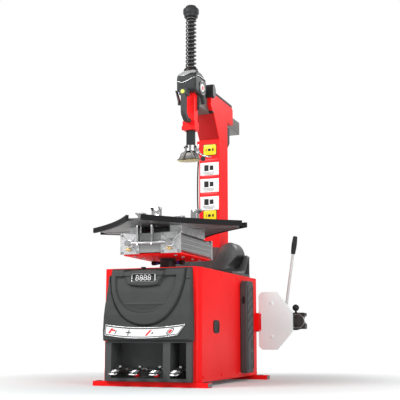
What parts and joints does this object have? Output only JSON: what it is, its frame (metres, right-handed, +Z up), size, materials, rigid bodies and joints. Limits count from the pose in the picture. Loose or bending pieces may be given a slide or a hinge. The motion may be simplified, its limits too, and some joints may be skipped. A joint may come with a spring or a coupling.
{
  "type": "tire changer",
  "caption": "Floor-standing tyre changer: cabinet with foot pedals, square clamping turntable, tilting column with sliding arm and sprung tool shaft, and a side bead breaker.",
  "frame": {"origin": "centre of the rectangle of the floor anchor holes, on the floor", "axes": "+Z up; -Y is the operator's side with the pedals; +X is the side with the rubber pad and the bead breaker"},
  "size_m": [0.8875, 1.3665, 1.972],
  "materials": {
    "red_paint": "gloss powder coat",
    "grey_paint": "satin paint",
    "pale_paint": "satin paint",
    "black_metal": "black satin",
    "dark_plastic": "moulded, light grain",
    "gloss_plastic": "glossy moulded",
    "steel": "ground",
    "chrome": "plated",
    "aluminium": "cast, machined faces",
    "cast_iron": "as cast",
    "rubber": "matt",
    "button": "moulded"
  },
  "bodies": {
    "cabinet": {"front_foot": "red_paint", "rear_foot": "red_paint", "cabinet_shell": "red_paint", "top_plate": "red_paint", "front_cover": "dark_plastic", "pedal_housing": "dark_plastic", "side_pad": "rubber", "column_shroud": "dark_plastic", "tilt_bracket": "black_metal", "tilt_pin": "steel", "drive_motor": "cast_iron", "gearbox": "cast_iron", "drive_belt": "rubber", "bead_cylinder": "aluminium", "tilt_cylinder": "aluminium", "breaker_bracket": "red_paint"},
    "motor_drive": {"motor_pulley": "cast_iron"},
    "worm_drive": {"gearbox_pulley": "cast_iron"},
    "bead_piston": {"bead_rod": "chrome"},
    "tilt_piston": {"tilt_rod": "chrome"},
    "turntable": {"spindle": "cast_iron", "distributor": "black_metal", "base_plate": "red_paint", "clamp_cylinders": "aluminium", "cylinder_ends": "aluminium", "table_plate": "grey_paint", "table_rims": "black_metal"},
    "piston_bar": {"crossbar": "chrome"},
    "clamp_right": {"slide_right": "steel", "jaw_right": "chrome"},
    "clamp_rear": {"slide_rear": "steel", "jaw_rear": "chrome"},
    "clamp_left": {"slide_left": "steel", "jaw_left": "chrome"},
    "clamp_front": {"slide_front": "steel", "jaw_front": "chrome"},
    "column": {"column_post": "red_paint", "head_housing": "red_paint", "column_rear_cover": "dark_plastic", "air_hose": "rubber", "lock_block": "black_metal"},
    "arm": {"arm_tube": "pale_paint", "shaft_housing": "red_paint", "head_cover": "gloss_plastic", "valve_handle": "dark_plastic"},
    "button": {"valve_button": "button"},
    "trigger": {"valve_trigger": "dark_plastic"},
    "shaft": {"hex_shaft": "chrome", "shaft_cap": "gloss_plastic", "return_spring": "steel", "mount_head": "cast_iron", "hook_rod": "chrome"},
    "breaker": {"breaker_arm": "pale_paint", "arm_clamp": "black_metal", "breaker_handle": "steel"},
    "blade": {"breaker_blade": "pale_paint"},
    "pedal_lever_1": {"pedal_1": "aluminium"},
    "pedal_lever_2": {"pedal_2": "aluminium"},
    "pedal_lever_3": {"pedal_3": "aluminium"},
    "pedal_lever_4": {"pedal_4": "aluminium"}
  },
  "joints": [
    {"name": "table_spin", "type": "hinge", "parent": "cabinet", "child": "turntable", "pos_m": [0, -0.229, 0], "axis": [0, 0, 1], "continuous": true},
    {"name": "motor_spin", "type": "hinge", "parent": "cabinet", "child": "motor_drive", "pos_m": [0.097, -0.06, 0.18], "axis": [1, 0, 0], "continuous": true},
    {"name": "worm_spin", "type": "hinge", "parent": "cabinet", "child": "worm_drive", "pos_m": [0.097, -0.169, 0.44], "axis": [1, 0, 0], "continuous": true},
    {"name": "jaw_front_slide", "type": "slide", "parent": "turntable", "child": "clamp_front", "axis": [0, -1, 0], "range_m": [0, 0.172]},
    {"name": "jaw_right_slide", "type": "slide", "parent": "turntable", "child": "clamp_right", "axis": [1, 0, 0], "range_m": [0, 0.172]},
    {"name": "jaw_rear_slide", "type": "slide", "parent": "turntable", "child": "clamp_rear", "axis": [0, 1, 0], "range_m": [0, 0.172]},
    {"name": "jaw_left_slide", "type": "slide", "parent": "turntable", "child": "clamp_left", "axis": [-1, 0, 0], "range_m": [0, 0.172]},
    {"name": "crossbar_slide", "type": "slide", "parent": "turntable", "child": "piston_bar", "axis": [0, -1, 0], "range_m": [0, 0.172]},
    {"name": "column_tilt", "type": "hinge", "parent": "cabinet", "child": "column", "pos_m": [0.006, 0.4, 0.578], "axis": [-1, 0, 0], "range_deg": [0, 20]},
    {"name": "tilt_rod_slide", "type": "slide", "parent": "cabinet", "child": "tilt_piston", "axis": [0, 0, 1], "range_m": [0, 0.03]},
    {"name": "arm_slide", "type": "slide", "parent": "column", "child": "arm", "axis": [0, -1, 0], "range_m": [0, 0.13]},
    {"name": "shaft_slide", "type": "slide", "parent": "arm", "child": "shaft", "axis": [0, 0, -1], "range_m": [0, 0.2], "stiffness_N_per_m": 400, "springref_m": -0.4, "deforming": ["return_spring"]},
    {"name": "button_press", "type": "slide", "parent": "arm", "child": "button", "axis": [0, 1, 0], "range_m": [0, 0.005], "stiffness_N_per_m": 600, "springref_m": -0.003},
    {"name": "trigger_pull", "type": "hinge", "parent": "arm", "child": "trigger", "pos_m": [-0.021, -0.042, 1.409], "axis": [0, 1, 0], "range_deg": [0, 12], "stiffness_Nm_per_rad": 0.5, "springref_deg": -17.19},
    {"name": "breaker_swing", "type": "hinge", "parent": "cabinet", "child": "breaker", "pos_m": [0.285, 0.465, 0], "axis": [0, 0, 1], "range_deg": [-48, 0]},
    {"name": "bead_rod_slide", "type": "slide", "parent": "cabinet", "child": "bead_piston", "axis": [1, 0, 0], "range_m": [-0.06, 0]},
    {"name": "blade_swivel", "type": "hinge", "parent": "breaker", "child": "blade", "pos_m": [0.323, 0.447, 0.3], "axis": [0, 0, 1], "range_deg": [-8, 2]},
    {"name": "pedal_1_press", "type": "hinge", "parent": "cabinet", "child": "pedal_lever_1", "pos_m": [0, -0.372, 0.072], "axis": [1, 0, 0], "range_deg": [0, 8], "stiffness_Nm_per_rad": 6, "springref_deg": -11.46},
    {"name": "pedal_2_press", "type": "hinge", "parent": "cabinet", "child": "pedal_lever_2", "pos_m": [0, -0.372, 0.072], "axis": [1, 0, 0], "range_deg": [0, 8], "stiffness_Nm_per_rad": 6, "springref_deg": -11.46},
    {"name": "pedal_3_press", "type": "hinge", "parent": "cabinet", "child": "pedal_lever_3", "pos_m": [0, -0.372, 0.072], "axis": [1, 0, 0], "range_deg": [0, 8], "stiffness_Nm_per_rad": 6, "springref_deg": -11.46},
    {"name": "pedal_4_press", "type": "hinge", "parent": "cabinet", "child": "pedal_lever_4", "pos_m": [0, -0.372, 0.072], "axis": [1, 0, 0], "range_deg": [-6, 8], "stiffness_Nm_per_rad": 6}
  ],
  "couplings": [
    {"joint": "motor_spin", "follows": "table_spin", "ratio": 50},
    {"joint": "worm_spin", "follows": "table_spin", "ratio": 20},
    {"joint": "jaw_right_slide", "follows": "jaw_front_slide", "ratio": 1},
    {"joint": "jaw_rear_slide", "follows": "jaw_front_slide", "ratio": 1},
    {"joint": "jaw_left_slide", "follows": "jaw_front_slide", "ratio": 1},
    {"joint": "crossbar_slide", "follows": "jaw_front_slide", "ratio": 1},
    {"joint": "tilt_rod_slide", "follows": "column_tilt", "m_per_rad": 0.07},
    {"joint": "bead_rod_slide", "follows": "breaker_swing", "m_per_rad": 0.06}
  ]
}
